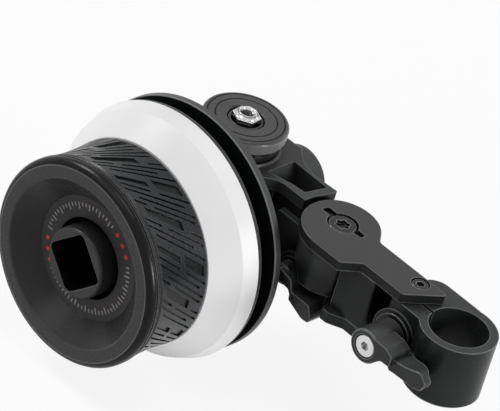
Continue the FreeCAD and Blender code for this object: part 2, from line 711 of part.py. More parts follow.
def crank_boss():
    body = new_part("crank_boss", x=WHEEL_X, turn=FORWARD)
    turned(body, [
        (0, SOCKET_FLOOR), (0, size.socket_front), (size.socket_boss, size.socket_front, 0.7),
        (size.socket_boss, SOCKET_FLOOR),
    ])
    corner = size.socket_width * math.sqrt(0.5)
    pocket(body, lambda sketch: outline(sketch, [
        (corner, 0, 1.5), (0, corner, 1.5), (-corner, 0, 1.5), (0, -corner, 1.5),
    ]), SOCKET_FLOOR, size.socket_front + 1)


def handwheel_rim():
    """Rim with the dish's cone, the seat of the grip sleeve and the skirt under the disc."""
    body = new_part("handwheel_rim", x=WHEEL_X, turn=FORWARD)
    front = size.wheel_front
    lip = size.lip_radius
    skirt = size.disc_seat - 3.0
    turned(body, [
        (size.face_radius, 34.0), (size.face_radius, size.face_level),
        (size.dish_radius, front, 0.6), (lip, front, 1.9),
        (lip, size.grip_front + 1.5), (lip - 0.3, size.grip_front + 1.3),
        (lip - 0.3, size.grip_front + 1.1), (lip, size.grip_front + 0.9),
        (lip, size.grip_front + 0.7), (lip - 0.3, size.grip_front + 0.5),
        (lip - 0.3, size.grip_front), (size.grip_seat, size.grip_front),
        (size.grip_seat, size.grip_back), (size.disc_seat, size.grip_back),
        (size.disc_seat, size.disc_back), (skirt, size.disc_back), (skirt, 34.0),
    ])
    pocket(body, bolt_circle(3, WHEEL_RING, 0.9, 90), size.disc_back - 1, size.disc_back + 3.4)


def grip_sleeve():
    body = new_part("grip_sleeve", x=WHEEL_X, turn=FORWARD)
    turned(body, [
        (size.grip_seat, size.grip_back), (size.grip_radius, size.grip_back),
        (size.grip_radius - 0.5, 0.55 * size.grip_back + 0.45 * size.grip_front, 30.0),
        (size.grip_radius, size.grip_front),
        (size.grip_seat, size.grip_front),
    ])


def marking_disc():
    body = new_part("marking_disc", x=WHEEL_X, turn=FORWARD)
    turned(body, [
        (size.disc_seat, size.disc_back), (size.disc_radius - 0.2, size.disc_back),
        (size.disc_radius, size.disc_back + 0.2), (size.disc_radius - 1.33, size.disc_break),
        (size.grip_radius, size.grip_back), (size.disc_seat, size.grip_back),
    ])


def disc_retainer():
    body = new_part("disc_retainer", x=WHEEL_X, turn=FORWARD)
    pad(body, ring_row(0, 0, FLANGE_RADIUS, 8.1), size.ring_back, size.disc_back)
    pocket(body, bolt_circle(3, WHEEL_RING, 1.0, 90), size.ring_back - 1, size.disc_back + 1)


def wheel_spindle():
    body = new_part("wheel_spindle", x=WHEEL_X, turn=FORWARD)
    turned(body, [
        (0, 6.3), (size.shaft_radius, 6.3), (size.shaft_radius, 35.8), (0, 35.8),
    ])


# ---------------------------------------------------------------- assembly

rod_clamp()
arm_lower_plate()
arm_body()
arm_top_plate()
pivot_post()
gearbox_housing()
flange()
rear_cap()
drive_hub()
drive_shaft()
drive_stud()
handwheel_core()
crank_boss()
handwheel_rim()
grip_sleeve()
marking_disc()
disc_retainer()
wheel_spindle()
plain_ring("face_ring", WHEEL_X, size.face_radius, size.moat_radius,
           size.face_level - 1.0, size.face_level, turn=FORWARD)
plain_ring("spindle_bearing", WHEEL_X, size.bearing_radius, size.shaft_radius + size.bearing_gap,
           size.flange_back + 0.2, size.nose_front - 0.6, turn=FORWARD)
plain_ring("drive_bearing", WHEEL_X, size.bearing_radius, size.shaft_radius + size.bearing_gap, 13.0, TOWER_TOP - 2.0)
plain_ring("drive_seal", WHEEL_X, size.bearing_radius, size.shaft_radius + 0.3, TOWER_TOP - 2.0, TOWER_TOP)
washer("clamp_washer", STUD_X, size.stud_level, 5.4, 2.1, size.ear_front, size.ear_front + 0.5)
washer("lock_washer", LOCK_X, size.lock_level, 3.6, 1.35, 5.4, 5.9)
mitre_gear("spindle_gear", FORWARD, 0.0)
mitre_gear("drive_gear", UPRIGHT, 9.0)

CLAMP_FRONT = 16.9
clamp_neck = [
    (0.0, 4.2), (2.5, 3.7), (6.0, 3.6, 1.0), (8.3, 2.4, 0.6), (8.3, -0.5, 0.6), (5.4, -0.6, 1.5),
    (3.2, -2.9), (0.0, -4.2),
]
clamp_paddle = [
    (3.0, 1.6), (7.8, 1.2, 3.0), (12.0, 1.8), (16.4, 3.3, 1.8), (18.8, 1.2, 1.0), (17.7, -1.3, 1.2),
    (15.6, -1.9), (9.4, -2.1), (7.6, -2.3, 0.8), (6.6, -1.2), (3.0, -0.8),
]
clamp_lever = lever(
    "clamp_lever", STUD_X, size.stud_level, (size.clamp_hub, 7.7, CLAMP_FRONT),
    [(clamp_paddle, 8.2, CLAMP_FRONT - 1.3), (clamp_neck, 10.1, CLAMP_FRONT)], (3.05, 5.0), 3.15)
# the paddle's back sweeps forward round the rod clamp and thins towards its tip
pocket(clamp_lever, lambda sketch: outline(sketch, [
    (5.2, 7.0), (5.2, 9.0, 0.6), (8.0, 9.2, 4.0), (10.5, 10.3, 3.0), (13.4, 10.8, 6.0), (17.6, 13.4, 1.0),
    (21.0, 13.4), (21.0, 7.0),
]), -6.0, 6.0, "XZ_Plane")
stud("clamp_stud", STUD_X, size.stud_level, -size.ear_front, 7.7, 10.3, 2.0, 3.05, 1.25)
lever_screw("clamp_screw", STUD_X, size.stud_level, CLAMP_FRONT - 0.15, 8.25, (2.9, 0.55, 1.2), 1.2, 2.0)

LOCK_BACK = 6.2
LOCK_FRONT = 10.7
lock_blade = [
    (0.0, 2.5), (4.3, 1.6, 0.8), (5.6, -1.4, 0.8), (9.7, -1.2), (11.4, -1.3, 0.9), (13.0, -4.4, 0.9),
    (12.4, -5.9, 1.0), (10.1, -6.0, 1.5), (5.0, -3.8, 0.6), (4.8, -2.3), (4.0, -1.3, 0.6), (0.6, -1.1),
]
lever("lock_lever", LOCK_X, size.lock_level, (size.lock_hub, LOCK_BACK, 9.3),
      [(lock_blade, LOCK_BACK, LOCK_FRONT)], (1.75, 1.0), 1.95)
stud("lock_stud", LOCK_X, size.lock_level, -2.9, LOCK_BACK, 7.4, 1.3, 1.85, 0.85)
lever_screw("lock_screw", LOCK_X, size.lock_level, 9.2, 4.2, (1.65, 0.5, 0.4), 0.8, 1.3)

upright_screw("pivot_screw", PIVOT_X, 0.0, size.plate_high - 0.25, 3.6, 1.35, 1.6, 9.0,
              lambda sketch: star(sketch, 2.1, 1.45, 6))
upright_screw("arm_end_screw", END_SCREW_X, 0.35, size.plate_high - 0.2, 2.2, 1.5, 1.25, 7.4,
              lambda sketch: regular(sketch, 1.9, 6, 0))

HEAD_DOWN = FreeCAD.Rotation(FreeCAD.Vector(1, 0, 0), 180)
screw_set("lower_screws", 0.0, HEAD_DOWN, [(x.value, -LOWER_SCREW_Y) for x in LOWER_SCREW_X], -0.2,
          (1.8, 1.4), 0.9, 18.6, 1.5)
screw_set("flange_screws", WHEEL_X, FORWARD, spots_on_circle(4, FLANGE_RING.value, 45), size.flange_front,
          (1.85, 1.1), 0.78, 7.8, 1.3)
screw_set("wheel_screws", WHEEL_X, FORWARD.multiply(FreeCAD.Rotation(FreeCAD.Vector(1, 0, 0), 180)),
          spots_on_circle(3, WHEEL_RING.value, 270), -size.ring_back + 0.9, (1.7, 0.9), 0.85, 5.0, 1.3)

doc.recompute()

failed = [item.Name for item in doc.Objects if "Invalid" in item.State or "Error" in item.State]
if failed:
    raise RuntimeError(f"not built: {failed}")
for label, item in parts.items():
    if item.Shape.isNull() or not item.Shape.isValid():
        raise RuntimeError(f"bad shape: {label}")

os.makedirs("parts", exist_ok=True)
for label, item in parts.items():
    item.Shape.exportStep(f"parts/{label}.step")
    print(label, len(item.Shape.Solids), round(item.Shape.Volume, 1))
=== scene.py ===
import bpy
import bmesh
import json
import math
from mathutils import Matrix, Vector


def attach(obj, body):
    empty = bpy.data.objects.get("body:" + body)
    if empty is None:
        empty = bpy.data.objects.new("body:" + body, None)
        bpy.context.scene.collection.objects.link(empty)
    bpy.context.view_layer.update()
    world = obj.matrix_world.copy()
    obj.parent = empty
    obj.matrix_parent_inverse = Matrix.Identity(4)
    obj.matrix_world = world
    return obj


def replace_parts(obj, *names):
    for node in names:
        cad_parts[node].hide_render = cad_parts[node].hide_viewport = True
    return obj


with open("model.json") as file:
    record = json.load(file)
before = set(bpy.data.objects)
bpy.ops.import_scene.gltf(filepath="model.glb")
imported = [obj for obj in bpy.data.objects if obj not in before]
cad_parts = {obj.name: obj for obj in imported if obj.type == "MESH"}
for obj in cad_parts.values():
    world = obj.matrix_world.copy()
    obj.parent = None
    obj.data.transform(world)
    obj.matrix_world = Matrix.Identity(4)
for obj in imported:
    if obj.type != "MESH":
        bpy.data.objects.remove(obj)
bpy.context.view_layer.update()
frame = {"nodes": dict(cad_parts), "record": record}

# Lengths are in metres unless a comment says otherwise. The wheel turns round an axis along Y and the drive round
# an axis along Z. The two axes cross at X = WHEEL_X. "In front" means towards -Y.
WHEEL_X = -0.0766
FLOOR_Z = -0.0328


def add_object(name, data):
    item = bpy.data.objects.new(name, data)
    bpy.context.scene.collection.objects.link(item)
    return item


# ---------------------------------------------------------------- camera

# Fitted to the circles in the photo. The angles are in degrees, the lens and the sensor in mm.
CAMERA_AZIMUTH = 35.46
CAMERA_ELEVATION = 34.12
CAMERA_ROLL = 16.83
CAMERA_PLACE = Vector((0.45875, -0.73955, 0.62157))
CAMERA_LENS = 324.0
CAMERA_SENSOR = 36.0
CAMERA_NEAR = 0.05
CAMERA_FAR = 20.0


def add_camera():
    azimuth, elevation, roll = (math.radians(v) for v in (CAMERA_AZIMUTH, CAMERA_ELEVATION, CAMERA_ROLL))
    back = Vector((math.sin(azimuth) * math.cos(elevation),
                   -math.cos(azimuth) * math.cos(elevation), math.sin(elevation)))
    right = (-back).cross(Vector((0, 0, 1))).normalized()
    up = right.cross(-back).normalized()
    side = right * math.cos(roll) + up * math.sin(roll)
    top = up * math.cos(roll) - right * math.sin(roll)
    data = bpy.data.cameras.new("camera")
    data.sensor_width = CAMERA_SENSOR
    data.lens = CAMERA_LENS
    data.clip_start = CAMERA_NEAR
    data.clip_end = CAMERA_FAR
    camera = add_object("camera", data)
    matrix = Matrix((side, top, back)).transposed().to_4x4()
    matrix.translation = CAMERA_PLACE
    camera.matrix_world = matrix
    bpy.context.scene.camera = camera


# ---------------------------------------------------------------- node trees

class Nodes:
    """Short names for building the node tree of a material or a world."""

    def __init__(self, owner, output):
        owner.use_nodes = True
        self.owner = owner
        self.tree = owner.node_tree
        self.tree.nodes.clear()
        self.output = self.tree.nodes.new(output)

    def node(self, kind, **settings):
        item = self.tree.nodes.new(kind)
        for key, value in settings.items():
            setattr(item, key, value)
        return item

    def link(self, source, target):
        self.tree.links.new(source, target)

    def axes(self, coordinate):
        """X, Y and Z of a texture coordinate, as sockets found by name."""
        item = self.node("ShaderNodeSeparateXYZ")
        self.link(self.node("ShaderNodeTexCoord").outputs[coordinate], item.inputs[0])
        return item.outputs

    def noise(self, scale, detail, roughness):
        item = self.node("ShaderNodeTexNoise")
        item.inputs["Scale"].default_value = scale
        item.inputs["Detail"].default_value = detail
        item.inputs["Roughness"].default_value = roughness
        self.link(self.node("ShaderNodeTexCoord").outputs["Object"], item.inputs["Vector"])
        return item.outputs["Fac"]

    def ramp(self, source, low, high, out_low, out_high):
        item = self.node("ShaderNodeMapRange")
        item.inputs["From Min"].default_value = low
        item.inputs["From Max"].default_value = high
        item.inputs["To Min"].default_value = out_low
        item.inputs["To Max"].default_value = out_high
        self.link(source, item.inputs["Value"])
        return item.outputs["Result"]

    def calc(self, operation, first, second):
        item = self.node("ShaderNodeMath", operation=operation)
        for socket, value in zip(item.inputs, (first, second)):
            if isinstance(value, float):
                socket.default_value = value
            else:
                self.link(value, socket)
        return item.outputs[0]

    def window(self, source, low, high, soft):
        """1 where source lies between low and high."""
        return self.calc("MULTIPLY", self.ramp(source, low - soft, low + soft, 0.0, 1.0),
                         self.ramp(source, high - soft, high + soft, 1.0, 0.0))

    def both(self, first, second, soft):
        """1 where two values lie in their windows; each of the two is a source with its low and high end."""
        return self.calc("MULTIPLY", self.window(*first, soft), self.window(*second, soft))

    def radius(self, spot, second):
        """Distance from an axis through WHEEL_X; second is the other axis it is measured along."""
        across = self.calc("SUBTRACT", spot["X"], WHEEL_X)
        total = self.calc("ADD", self.calc("MULTIPLY", across, across),
                          self.calc("MULTIPLY", spot[second], spot[second]))
        return self.calc("SQRT", total, 0.0)

    def mix(self, amount, first, second):
        """Mix of two colours, each a tuple or a socket. The node's colour sockets are numbers 6 and 7."""
        item = self.node("ShaderNodeMix", data_type="RGBA")
        for socket, value in ((item.inputs[6], first), (item.inputs[7], second)):
            if isinstance(value, tuple):
                socket.default_value = (*value, 1.0)
            else:
                self.link(value, socket)
        self.link(amount, item.inputs[0])
        return item.outputs[2]

    def light(self, kind, strength):
        """White light of a strength, from an emission or a background node."""
        item = self.node(kind)
        item.inputs["Color"].default_value = (1.0, 1.0, 1.0, 1.0)
        item.inputs["Strength"].default_value = strength
        return item.outputs[0]

    def seen(self):
        """1 for the rays that see the background, straight, mirrored or through glass."""
        path = self.node("ShaderNodeLightPath")
        total = path.outputs["Is Camera Ray"]
        for ray in ("Is Glossy Ray", "Is Transmission Ray"):
            total = self.calc("MAXIMUM", total, path.outputs[ray])
        return total

    def finish_mixed(self, share, first, second):
        """Send a mix of two shaders to the output."""
        item = self.node("ShaderNodeMixShader")
        for socket, value in zip(item.inputs, (share, first, second)):
            self.link(value, socket)
        self.link(item.outputs[0], self.output.inputs["Surface"])


def new_material(name):
    return Nodes(bpy.data.materials.new(name), "ShaderNodeOutputMaterial")


# ---------------------------------------------------------------- finishes

PATCH_NOISE = (60.0, 4.0, 0.6)  # scale, detail and roughness
GRAIN_NOISE = (2.0, 0.5)        # detail and roughness; each finish has its own scale
# Each span gives the two values of a measure between which a mask goes from one end to the other.
PATCH_SPAN = (0.35, 0.65)       # noise, from the dark to the light colour
GRAIN_SPAN = (0.3, 0.7)         # noise, from the lowest to the highest roughness
LEVEL_SPAN = (0.75, 0.97)       # how far a face looks up, from a slope to level, for the painted light on tops
RIDGE_SPAN = (0.42, 0.90)       # how far a face looks along the ridge's axis, for the painted highlight on its rounds
RIDGE_SOFT = 0.05
TURN_SPAN = (0.985, 0.92)       # agreement of the rounded with the true normal, from a flat face to an edge, for the painted edge highlight
OUTWARD_SPAN = (0.97, 0.85)     # open share looking into the solid, from a crease to an outer edge
OPEN_SPAN = (0.15, 0.85)        # open share looking out of the solid, from a hollow to open air, for the painted shade
# Colour of the painted shade in gaps and hollows.
PAINTED_SHADE_COLOUR = (0.0015, 0.0018, 0.0018)
BUMP_HEIGHT = 0.0002
BEVEL_SAMPLES = 8
WITHIN_SAMPLES = 6


def surface(name, dark, light, rough, spread, metallic=0.0, grain=900.0, bump=0.05, specular=0.5,
            round_edge=0.00025, edge=None, edge_reach=0.0005, depth=0.0, reach=0.012, samples=8,
            zones=(), over=(), top=None, ridge=None):
    """A finish whose colour, roughness and bump vary.

    dark and light are the ends of its colour, rough and spread the middle and half the width of its roughness,
    grain the scale of the fine noise and round_edge the radius that sharp edges seem to have.
    edge is the colour of a painted highlight along rounded outer edges, as wide as edge_reach. depth says how far
    gaps and hollows narrower than reach darken with painted shade, and samples is the number of rays that look
    for them. Each zone is a mask with a colour, and those of over lie over the edges too.
    top is the colour of level faces, a painted light from above that makes them lighter than the sides.
    ridge names an axis and the colour of a painted highlight on the rounds between faces along and across it."""
    nodes = new_material(name)
    shader = nodes.node("ShaderNodeBsdfPrincipled")
    shader.inputs["Metallic"].default_value = metallic
    shader.inputs["Specular IOR Level"].default_value = specular
    patches = nodes.noise(*PATCH_NOISE)
    fine = nodes.noise(grain, *GRAIN_NOISE)
    colour = nodes.mix(nodes.ramp(patches, *PATCH_SPAN, 0.0, 1.0), dark, light)
    # Painted light: level faces take the lighter top colour, as if lit from above.
    if top:
        colour = nodes.mix(nodes.ramp(nodes.axes("Normal")["Z"], *LEVEL_SPAN, 0.0, 1.0), colour, top)
    # Painted highlight on the rounds between faces along and across the ridge's axis.
    if ridge:
        axis, tint = ridge
        slope = nodes.calc("ABSOLUTE", nodes.axes("Normal")[axis], 0.0)
        colour = nodes.mix(nodes.window(slope, *RIDGE_SPAN, RIDGE_SOFT), colour, tint)
    for mask, tint in zones:
        colour = nodes.mix(mask(nodes), colour, tint)
    bevel = nodes.node("ShaderNodeBevel", samples=BEVEL_SAMPLES)
    bevel.inputs["Radius"].default_value = round_edge
    # Painted highlight along rounded outer edges; the look into the solid keeps it off creases.
    if edge:
        wide = nodes.node("ShaderNodeBevel", samples=BEVEL_SAMPLES)
        wide.inputs["Radius"].default_value = edge_reach
        turn = nodes.node("ShaderNodeVectorMath", operation="DOT_PRODUCT")
        nodes.link(wide.outputs["Normal"], turn.inputs[0])
        nodes.link(nodes.node("ShaderNodeNewGeometry").outputs["Normal"], turn.inputs[1])
        within = nodes.node("ShaderNodeAmbientOcclusion", samples=WITHIN_SAMPLES, inside=True, only_local=True)
        within.inputs["Distance"].default_value = 2 * edge_reach
        outward = nodes.ramp(within.outputs["AO"], *OUTWARD_SPAN, 0.0, 1.0)
        painted_edge_highlight = nodes.calc("MULTIPLY", nodes.ramp(turn.outputs["Value"], *TURN_SPAN, 0.0, 1.0), outward)
        colour = nodes.mix(painted_edge_highlight, colour, edge)
    for mask, tint in over:
        colour = nodes.mix(mask(nodes), colour, tint)
    # Painted shade: gaps and hollows darken towards the shade colour.
    if depth:
        hollow = nodes.node("ShaderNodeAmbientOcclusion", samples=samples)
        hollow.inputs["Distance"].default_value = reach
        shade = nodes.ramp(hollow.outputs["AO"], *OPEN_SPAN, depth, 0.0)
        colour = nodes.mix(shade, colour, PAINTED_SHADE_COLOUR)
    nodes.link(colour, shader.inputs["Base Color"])
    nodes.link(nodes.ramp(fine, *GRAIN_SPAN, rough - spread, rough + spread), shader.inputs["Roughness"])
    bumps = nodes.node("ShaderNodeBump")
    bumps.inputs["Strength"].default_value = bump
    bumps.inputs["Distance"].default_value = BUMP_HEIGHT
    nodes.link(fine, bumps.inputs["Height"])
    nodes.link(bevel.outputs["Normal"], bumps.inputs["Normal"])
    nodes.link(bumps.outputs["Normal"], shader.inputs["Normal"])
    nodes.link(shader.outputs["BSDF"], nodes.output.inputs["Surface"])
    return nodes.owner


FAR = 1.0                       # beyond every piece, for the open end of a zone


def wheel_zone(inner, outer, back=-FAR, front=FAR, soft=0.0001):
    """1 between two radii round the wheel's axis and between two distances in front of the drive axis."""
    def mask(nodes):
        spot = nodes.axes("Object")
        ahead = nodes.calc("MULTIPLY", spot["Y"], -1.0)
        return nodes.both((nodes.radius(spot, "Z"), inner, outer), (ahead, back, front), soft)
    return mask


def drive_zone(inner, outer, low=-FAR, high=FAR, soft=0.0001):
    """1 between two radii round the drive's axis and between two heights."""
    def mask(nodes):
        spot = nodes.axes("Object")
        return nodes.both((nodes.radius(spot, "Y"), inner, outer), (spot["Z"], low, high), soft)
    return mask


def block_zone(left, right, low, high, soft=0.0003):
    """1 between two places along X and two heights."""
    def mask(nodes):
        spot = nodes.axes("Object")
        return nodes.both((spot["X"], left, right), (spot["Z"], low, high), soft)
    return mask


LIP_FLAT = 0.02445              # radius at which the flat front of the wheel's lip ends
HUB_NECK = 0.0242               # height at which the drive hub's neck meets its head
HUB_FACE = 0.0268               # height just below the face of the drive hub

# In these finishes top is painted light on level faces, ridge and edge are painted highlights and depth is
# painted shade in gaps and hollows.
MATERIALS = {
    "black_metal": surface(
        "anodised_black", (0.012, 0.013, 0.0135), (0.018, 0.019, 0.0195), 0.30, 0.04, grain=2600.0,
        bump=0.06, specular=0.16, edge=(0.17, 0.175, 0.18), depth=0.95, top=(0.040, 0.041, 0.042)),
    # The zone is the split collar below the arm's top plate, darkened as painted shade under the plate.
    "housing_black": surface(
        "housing_black", (0.034, 0.035, 0.036), (0.042, 0.043, 0.044), 0.32, 0.04, grain=2600.0,
        bump=0.06, specular=0.18, edge=(0.12, 0.125, 0.13), depth=0.95, reach=0.006,
        top=(0.044, 0.045, 0.046),
        zones=[(block_zone(-0.0515, 0.0, -0.05, 0.0105, 0.0022), (0.009, 0.010, 0.010))]),
    "lever_black": surface(
        "lever_black", (0.026, 0.027, 0.028), (0.034, 0.035, 0.036), 0.26, 0.04, grain=2600.0,
        bump=0.06, specular=0.20, edge=(0.24, 0.245, 0.25), depth=0.8, reach=0.004,
        top=(0.05, 0.051, 0.052), ridge=("Y", (0.11, 0.112, 0.114))),
    "plate_metal": surface(
        "anodised_plate", (0.010, 0.0105, 0.011), (0.015, 0.0155, 0.016), 0.36, 0.05, grain=2600.0,
        bump=0.07, specular=0.14, edge=(0.17, 0.17, 0.172), depth=0.9, top=(0.056, 0.056, 0.057),
        ridge=("Z", (0.10, 0.10, 0.102))),
    "dark_screws": surface(
        "black_oxide", (0.010, 0.010, 0.011), (0.020, 0.020, 0.021), 0.24, 0.06, metallic=0.3,
        grain=1500.0, specular=0.3, edge=(0.22, 0.22, 0.22), depth=0.85, reach=0.004),
    # The zones are the inside of the crank socket, darkened to near black as painted shade, and the flank of the
    # boss.
    "wheel_black": surface(
        "wheel_black", (0.044, 0.044, 0.046), (0.050, 0.050, 0.052), 0.30, 0.05, grain=1800.0,
        bump=0.04, specular=0.14, edge=(0.18, 0.18, 0.185), edge_reach=0.00025, depth=0.9,
        zones=[(wheel_zone(0.0, 0.0083, front=0.04985), (0.0015, 0.002, 0.002)),
               (wheel_zone(0.00893, 0.02, front=0.0493), (0.046, 0.048, 0.048))]),
    # The zones are the lip's flat front, all that lies further out and the light line between the two, a painted
    # highlight.
    "rim_black": surface(
        "rim_black", (0.022, 0.022, 0.024), (0.028, 0.028, 0.030), 0.28, 0.03, grain=1800.0,
        bump=0.02, specular=0.16, edge=(0.16, 0.16, 0.165), edge_reach=0.00025, depth=0.85, samples=16,
        zones=[(wheel_zone(0.0, LIP_FLAT, back=0.0506), (0.050, 0.050, 0.052)),
               (wheel_zone(LIP_FLAT, FAR), (0.002, 0.002, 0.0025)),
               (wheel_zone(LIP_FLAT, 0.02468, back=0.0495), (0.18, 0.18, 0.184))]),
    "face_black": surface(
        "face_black", (0.050, 0.045, 0.047), (0.056, 0.051, 0.053), 0.50, 0.05, grain=2200.0,
        specular=0.14, depth=0.5),
    # The zones are the flange's outer wall, lightened as painted light, and its front edge, a brighter painted
    # highlight.
    "flange_black": surface(
        "flange_black", (0.005, 0.006, 0.006), (0.008, 0.009, 0.009), 0.34, 0.05, grain=1800.0,
        bump=0.05, specular=0.12, depth=0.7,
        zones=[(wheel_zone(0.03215, 0.04, back=0.0100, front=0.0170), (0.072, 0.073, 0.073)),
               (wheel_zone(0.03200, 0.04, back=0.01420, front=0.0170, soft=0.00005), (0.20, 0.202, 0.202))]),
    # The zone is the floor of the tread's grooves, darkened as painted shade.
    "grip_rubber": surface(
        "grip_rubber", (0.015, 0.016, 0.018), (0.021, 0.022, 0.024), 0.27, 0.05, grain=1400.0,
        bump=0.02, specular=0.24, edge=(0.07, 0.073, 0.077), round_edge=0.00012, edge_reach=0.00012,
        depth=0.9, reach=0.003, samples=12,
        zones=[(wheel_zone(0.0, 0.02552, soft=0.00003), (0.004, 0.0045, 0.005))]),
    "white_disc": surface(
        "white_disc", (0.85, 0.85, 0.858), (0.88, 0.88, 0.888), 0.42, 0.05, grain=1200.0, bump=0.02,
        specular=0.3),
    # The zone is the hub's upper edge, lightened as a painted highlight. Over it lie the two grooves of its face
    # and its neck, darkened as painted shade in the grooves and under the head.
    "hub_black": surface(
        "hub_black", (0.058, 0.058, 0.060), (0.068, 0.068, 0.070), 0.28, 0.04, grain=1500.0,
        bump=0.05, specular=0.2, edge=(0.14, 0.14, 0.145), edge_reach=0.00025, depth=0.9, reach=0.005,
        samples=12,
        zones=[(drive_zone(0.0106, 0.02, HUB_NECK, HUB_FACE), (0.15, 0.15, 0.152))],
        over=[(drive_zone(0.00948, 0.00996, low=HUB_FACE), (0.003, 0.003, 0.004)),
              (drive_zone(0.00752, 0.00800, low=HUB_FACE), (0.003, 0.003, 0.004)),
              (drive_zone(0.0, 0.0097, 0.0, HUB_NECK), (0.020, 0.020, 0.021))]),
    # The zones are the wall of the stud's hole, darkened as painted shade inside it, and a dark ring round its
    # mouth.
    "bright_steel": surface(
        "bright_steel", (0.55, 0.55, 0.56), (0.68, 0.68, 0.69), 0.14, 0.05, metallic=1.0, depth=0.9,
        reach=0.0015,
        zones=[(drive_zone(0.0, 0.00165, 0.0, 0.02895), (0.10, 0.10, 0.102)),
               (drive_zone(0.00228, 0.00250, low=0.028), (0.12, 0.12, 0.122))]),
    "plain_steel": surface(
        "plain_steel", (0.42, 0.42, 0.43), (0.52, 0.52, 0.53), 0.32, 0.06, metallic=1.0, depth=0.6),
    "tick_white": surface(
        "tick_white", (0.27, 0.27, 0.27), (0.33, 0.33, 0.33), 0.55, 0.05, bump=0.0),
    "tick_red": surface(
        "tick_red", (0.52, 0.025, 0.025), (0.60, 0.035, 0.035), 0.55, 0.05, bump=0.0),
    "seal_rubber": surface(
        "seal_rubber", (0.010, 0.010, 0.010), (0.014, 0.014, 0.014), 0.60, 0.06),
}

# Nodes with a finish of their own within their slot.
NODE_FINISH = {"handwheel_rim": "rim_black", "gearbox_housing": "housing_black",
               "clamp_lever": "lever_black", "lock_lever": "lever_black"}


def dress_nodes():
    slots = {part["node"]: part["material_slot"] for part in frame["record"]["subparts"]}
    for name, item in frame["nodes"].items():
        material = MATERIALS[NODE_FINISH.get(name, slots[name])]
        for slot in item.material_slots:
            slot.material = material


# ---------------------------------------------------------------- meshes

def new_piece(name, mesh_maker, body, slot, finish=None, smooth=35.0):
    """A mesh that rides on a body; its edges stay sharp where the faces turn by more than smooth degrees."""
    mesh = bpy.data.meshes.new(name)
    form = bmesh.new()
    mesh_maker(form)
    bmesh.ops.recalc_face_normals(form, faces=form.faces)
    form.to_mesh(mesh)
    form.free()
    piece = add_object(name, mesh)
    for polygon in mesh.polygons:
        polygon.use_smooth = True
    mesh.set_sharp_from_angle(angle=math.radians(smooth))
    mesh.materials.append(MATERIALS[finish or slot])
    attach(piece, body)
    return piece


def grid(form, columns, rows, place, closed=False):
    """A sheet of quads; place(i, j) gives the point of column i and row j."""
    points = [[form.verts.new(place(i, j)) for j in range(rows)] for i in range(columns)]
    for i in range(columns if closed else columns - 1):
        after = points[(i + 1) % columns]
        for j in range(rows - 1):
            form.faces.new((points[i][j], after[j], after[j + 1], points[i][j + 1]))
    return points


def part_turn(step, steps):
    """The angle after some of the steps of a full turn."""
    return 2 * math.pi * step / steps


def wheel_point(radius, angle, along):
    """A point round the wheel's axis; angle 0 points along +X and 90 degrees up."""
    return Vector((WHEEL_X + radius * math.cos(angle), -along, radius * math.sin(angle)))


def drive_point(radius, angle, height):
    """A point round the drive's axis; angle 0 points along +X and 90 degrees along +Y."""
    return Vector((WHEEL_X + radius * math.cos(angle), radius * math.sin(angle), height))


# ---------------------------------------------------------------- grip sleeve

GRIP_FRONT = 0.0473             # both ends are distances in front of the drive axis
GRIP_BACK = 0.03105
GRIP_LENGTH = GRIP_FRONT - GRIP_BACK
GRIP_INSET = 0.0001             # how far each end of the mesh stays within these
GRIP_RADIUS = 0.02606           # at both ends
GRIP_WAIST = 0.00050            # how much less it is in the middle
GRIP_SEAT = 0.0241              # radius to which the two end faces run in
GRIP_ROUND = 0.0005             # height of the round at each end
GRIP_ROUND_SHARE = 0.04         # its part of the length

# One repeat of the tread in its own slanted grid, in mm: from and to round the sleeve, from and to along it,
# rise of the floor.
TREAD = [
    (0.6, 1.35, 0.7, 13.5, -0.55), (2.5, 3.25, 2.4, 15.5, -0.55), (4.4, 5.15, 0.7, 7.2, -0.55),
    (4.4, 5.15, 9.0, 15.5, -0.55), (6.3, 9.3, 1.3, 7.0, -0.5), (6.3, 8.1, 8.4, 15.2, -0.5),
    (10.5, 11.25, 0.7, 14.2, -0.55), (12.3, 13.05, 3.6, 15.5, -0.55), (14.1, 14.85, 0.7, 9.8, -0.55),
    (14.1, 14.85, 11.3, 15.5, -0.55), (16.0, 18.5, 5.2, 14.0, -0.5), (16.0, 16.75, 0.7, 3.7, -0.55),
    (19.3, 20.05, 1.4, 11.0, -0.55), (19.3, 20.05, 12.6, 15.5, -0.55),
]
TREAD_REPEATS = 8
TREAD_PITCH = 2 * math.pi * GRIP_RADIUS * 1000 / TREAD_REPEATS   # one repeat round the sleeve, in mm
TREAD_WALL = 0.14               # width of a groove's sloping wall, in mm
TREAD_SLANT = 37.0              # degrees, at TREAD_SLANT_RADIUS
TREAD_SLANT_RADIUS = 0.0258


def grip_radius(share):
    """Sleeve radius at a share of its length, slightly waisted and rounded at both ends."""
    shoulder = min(1.0, share / GRIP_ROUND_SHARE, (1.0 - share) / GRIP_ROUND_SHARE)
    waist = GRIP_WAIST * math.sin(math.pi * share)
    return GRIP_RADIUS - waist - GRIP_ROUND * (1.0 - shoulder) ** 2


def tread_rise(around, along):
    """Rise of the tread above the sleeve in metres; both places are in mm."""
    for left, right, low, high, rise in TREAD:
        # The grid has lines at the top and the foot of each wall, so half way tells the two apart.
        if min(around - left, right - around, along - low, high - along) > TREAD_WALL / 2:
            return rise / 1000
    return 0.0


def tread_stops(first, second, whole):
    """Where the grid needs a line so that each wall of the tread stands steep, in mm."""
    stops = {0.0, whole}
    for item in TREAD:
        for edge, inward in ((item[first], 1), (item[second], -1)):
            stops.add(round(edge, 4))
            stops.add(round(edge + inward * TREAD_WALL, 4))
    return sorted(stops)


